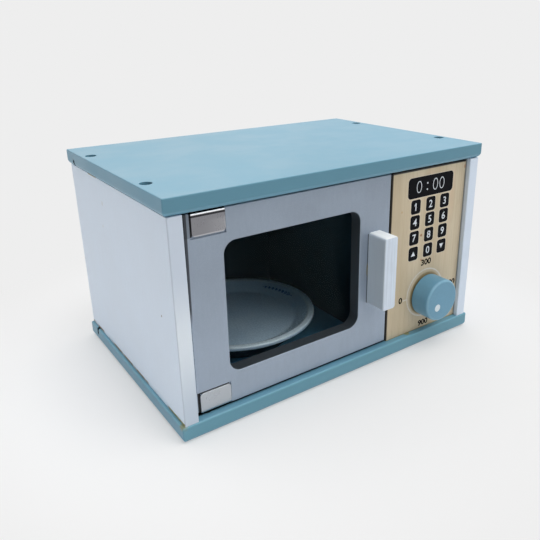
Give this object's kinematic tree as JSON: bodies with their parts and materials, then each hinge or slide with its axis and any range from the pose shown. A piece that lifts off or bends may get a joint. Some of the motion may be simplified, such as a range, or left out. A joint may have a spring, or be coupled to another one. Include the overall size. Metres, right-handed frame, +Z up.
{
  "type": "toy microwave oven",
  "caption": "Wooden pretend microwave: a boxed case with a hinged windowed door, a turning knob, and a plate on a turntable.",
  "frame": {"origin": "middle of the case's underside, on the surface it stands on", "axes": "+X to the right seen from the front, +Y to the back, +Z up; the door is on the -Y side"},
  "size_m": [0.3, 0.2172, 0.179],
  "materials": {
    "teal_board": "painted, satin",
    "white_board": "painted, satin",
    "silver_board": "silver painted, satin",
    "bare_wood": "lacquered",
    "dark_board": "painted, matte",
    "back_board": "painted, matte",
    "dowel_wood": "raw",
    "steel": "zinc plated",
    "galvanised_sheet": "zinc plated, mottled",
    "magnet": "nickel plated",
    "brass": "turned",
    "clear_sheet": "clear, gloss",
    "white_handle": "painted, satin",
    "teal_knob": "painted, satin",
    "nylon": "natural",
    "turntable_wood": "painted, matte",
    "plate_white": "painted, gloss"
  },
  "bodies": {
    "case": {"bottom_panel": "teal_board", "top_panel": "teal_board", "left_side_panel": "white_board", "right_side_panel": "white_board", "back_panel": "back_board", "partition": "dark_board", "control_panel": "bare_wood", "top_screws": "steel", "bottom_screws": "steel", "partition_dowels": "dowel_wood", "control_panel_dowels": "dowel_wood", "upper_hinge_bush": "brass", "lower_hinge_bush": "brass", "catch_magnets": "magnet", "turntable_spindle": "steel"},
    "door": {"door_panel": "silver_board", "window_pane": "clear_sheet", "pane_screws": "steel", "door_handle": "white_handle", "handle_screws": "steel", "upper_hinge_plate": "galvanised_sheet", "lower_hinge_plate": "galvanised_sheet", "hinge_pins": "steel", "hinge_screws": "steel", "catch_plate": "galvanised_sheet", "catch_screws": "steel"},
    "knob": {"control_knob": "teal_knob", "knob_front_washer": "nylon", "knob_back_washer": "steel", "knob_screw": "steel"},
    "turntable": {"turntable": "turntable_wood", "turntable_washer": "nylon"},
    "plate": {"plate": "plate_white"}
  },
  "joints": [
    {"name": "door_hinge", "type": "hinge", "parent": "case", "child": "door", "pos_m": [-0.126, -0.0908, 0.09], "axis": [0, 0, -1], "range_deg": [0, 110]},
    {"name": "knob_spin", "type": "hinge", "parent": "case", "child": "knob", "pos_m": [0.0961, -0.1, 0.047], "axis": [0, -1, 0], "continuous": true},
    {"name": "turntable_spin", "type": "hinge", "parent": "case", "child": "turntable", "pos_m": [-0.048, 0, 0.018], "axis": [0, 0, 1], "continuous": true},
    {"name": "plate_lift", "type": "slide", "parent": "turntable", "child": "plate", "axis": [0, 0, 1], "range_m": [0, 0.06]}
  ]
}
